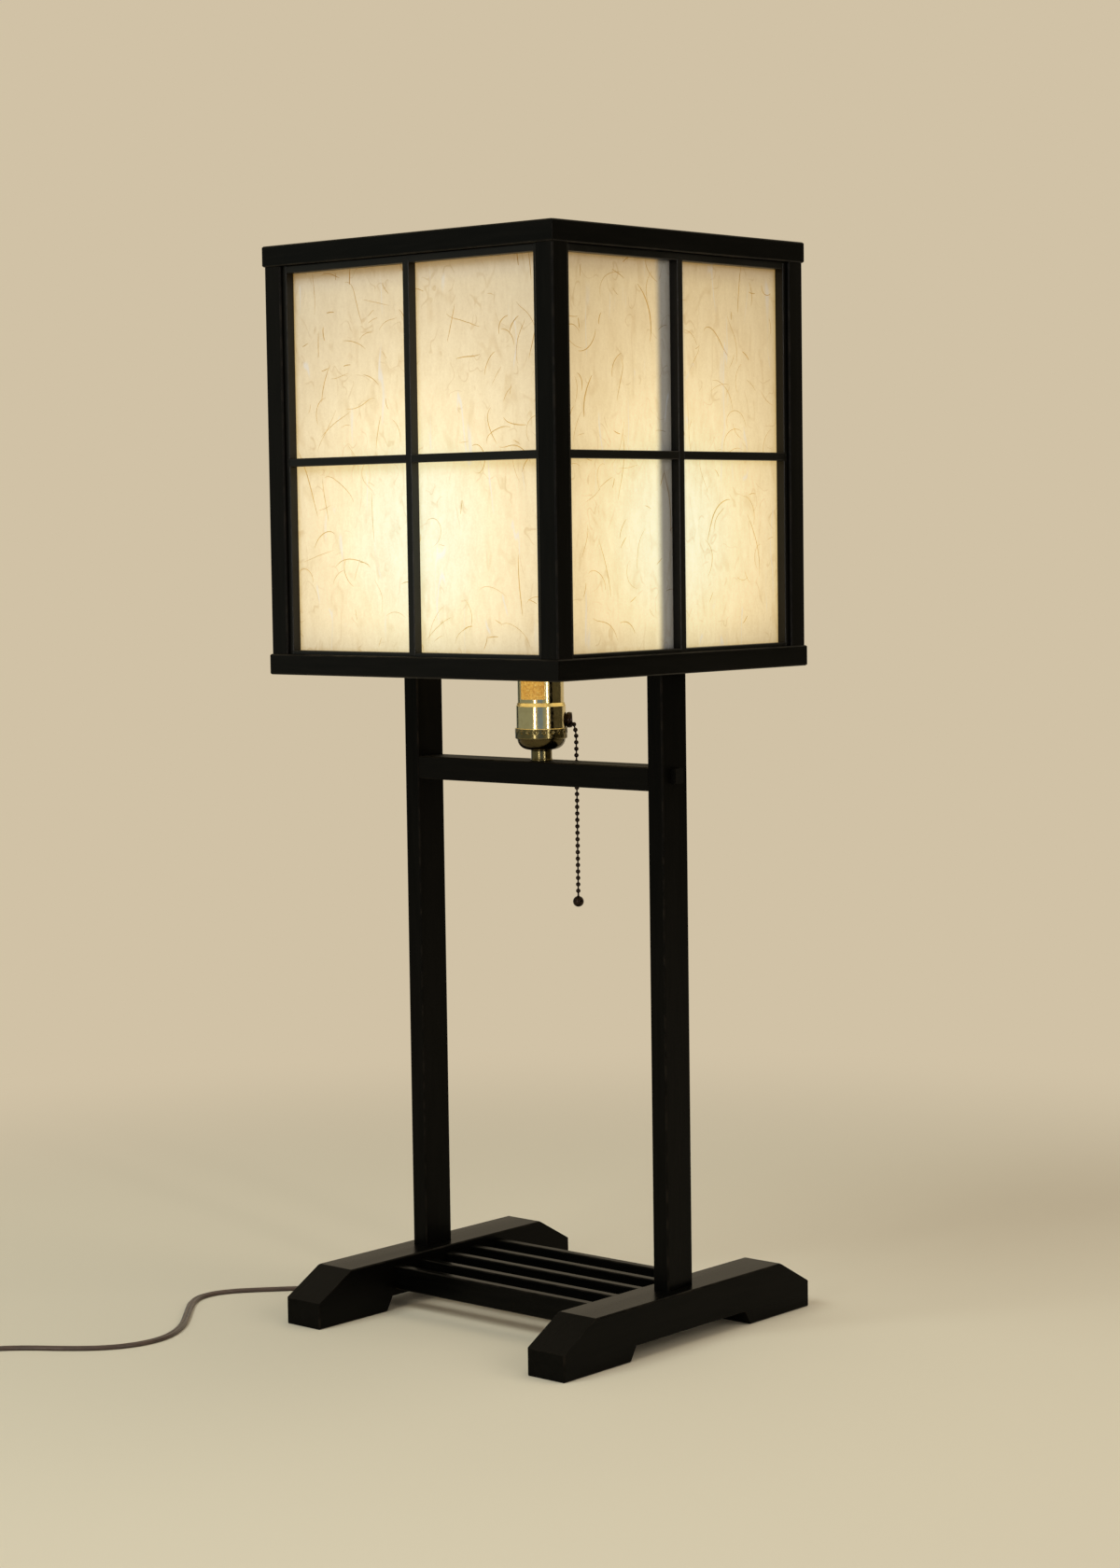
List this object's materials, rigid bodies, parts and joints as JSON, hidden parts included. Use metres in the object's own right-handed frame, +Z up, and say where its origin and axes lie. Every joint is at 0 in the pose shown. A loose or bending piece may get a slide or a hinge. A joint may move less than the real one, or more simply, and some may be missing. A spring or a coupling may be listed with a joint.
{
  "type": "table lamp",
  "caption": "Square paper shade with a black lattice frame on a two-post wooden stand with slatted base, brass socket and hanging pull chain.",
  "frame": {"origin": "centre of the base on the surface the lamp stands on", "axes": "+X along the crossbar from the cord's side, +Y along the feet, +Z up"},
  "size_m": [0.4554, 0.5053, 0.736],
  "materials": {
    "black_wood": "satin black paint",
    "shade_paper": "translucent fibre paper",
    "bright_brass": "polished",
    "aged_brass": "aged",
    "dark_bronze": "dark bronze",
    "fibre_board": "matte fibre board",
    "brown_moulding": "moulded, satin",
    "solder": "dull solder",
    "frosted_glass": "frosted white",
    "cord_vinyl": "brown vinyl"
  },
  "bodies": {
    "stand": {"left_foot": "black_wood", "right_foot": "black_wood", "left_post": "black_wood", "right_post": "black_wood", "crossbar": "black_wood", "slat_1": "black_wood", "slat_2": "black_wood", "slat_3": "black_wood", "slat_4": "black_wood", "slat_5": "black_wood", "threaded_nipple": "aged_brass", "locknut": "aged_brass", "brass_neck": "aged_brass", "socket_cap": "aged_brass", "socket_shell": "bright_brass", "insulating_sleeve": "fibre_board", "socket_body": "brown_moulding", "screw_shell": "bright_brass", "chain_bell": "dark_bronze", "stand_cord": "cord_vinyl", "power_cord": "cord_vinyl", "cord_coil": "cord_vinyl", "plug_body": "brown_moulding", "plug_blades": "bright_brass"},
    "shade": {"front_top_rail": "black_wood", "right_top_rail": "black_wood", "back_top_rail": "black_wood", "left_top_rail": "black_wood", "front_bottom_rail": "black_wood", "right_bottom_rail": "black_wood", "back_bottom_rail": "black_wood", "left_bottom_rail": "black_wood", "corner_post_1": "black_wood", "corner_post_2": "black_wood", "corner_post_3": "black_wood", "corner_post_4": "black_wood", "left_cleat": "black_wood", "right_cleat": "black_wood", "front_lattice_frame": "black_wood", "right_lattice_frame": "black_wood", "back_lattice_frame": "black_wood", "left_lattice_frame": "black_wood", "front_upright_bar": "black_wood", "right_upright_bar": "black_wood", "back_upright_bar": "black_wood", "left_upright_bar": "black_wood", "front_cross_bar": "black_wood", "right_cross_bar": "black_wood", "back_cross_bar": "black_wood", "left_cross_bar": "black_wood", "front_paper": "shade_paper", "right_paper": "shade_paper", "back_paper": "shade_paper", "left_paper": "shade_paper"},
    "chain_feed": {"feed_ball": "dark_bronze"},
    "chain_lead": {"chain_lead": "dark_bronze"},
    "pull_chain": {"pull_chain": "dark_bronze"},
    "bulb_tip": {"bulb_contact": "solder"},
    "bulb": {"bulb_base": "bright_brass", "bulb_glass": "frosted_glass"}
  },
  "joints": [
    {"name": "shade_lift", "type": "slide", "parent": "stand", "child": "shade", "axis": [0, 0, 1], "range_m": [0, 0.28]},
    {"name": "chain_pull", "type": "slide", "parent": "stand", "child": "chain_lead", "axis": [0.1234, 0.1234, -0.9847], "range_m": [0, 0.00401], "stiffness_N_per_m": 800, "springref_m": -0.001},
    {"name": "chain_feed", "type": "slide", "parent": "stand", "child": "chain_feed", "axis": [0.4617, 0.4617, -0.7574], "range_m": [0, 0.00383]},
    {"name": "chain_swing", "type": "hinge", "parent": "chain_lead", "child": "pull_chain", "pos_m": [0.01655, 0.01655, 0.4065], "axis": [0, 1, 0], "range_deg": [-25, 25]},
    {"name": "bulb_travel", "type": "slide", "parent": "stand", "child": "bulb_tip", "axis": [0, 0, 1], "range_m": [0, 0.01814]},
    {"name": "bulb_turn", "type": "hinge", "parent": "bulb_tip", "child": "bulb", "pos_m": [0, 0, 0.44], "axis": [0, 0, 1], "range_deg": [0, 1800]}
  ],
  "couplings": [
    {"joint": "chain_feed", "follows": "chain_pull", "ratio": 0.9546},
    {"joint": "bulb_turn", "follows": "bulb_travel", "rad_per_m": 1731.4}
  ]
}
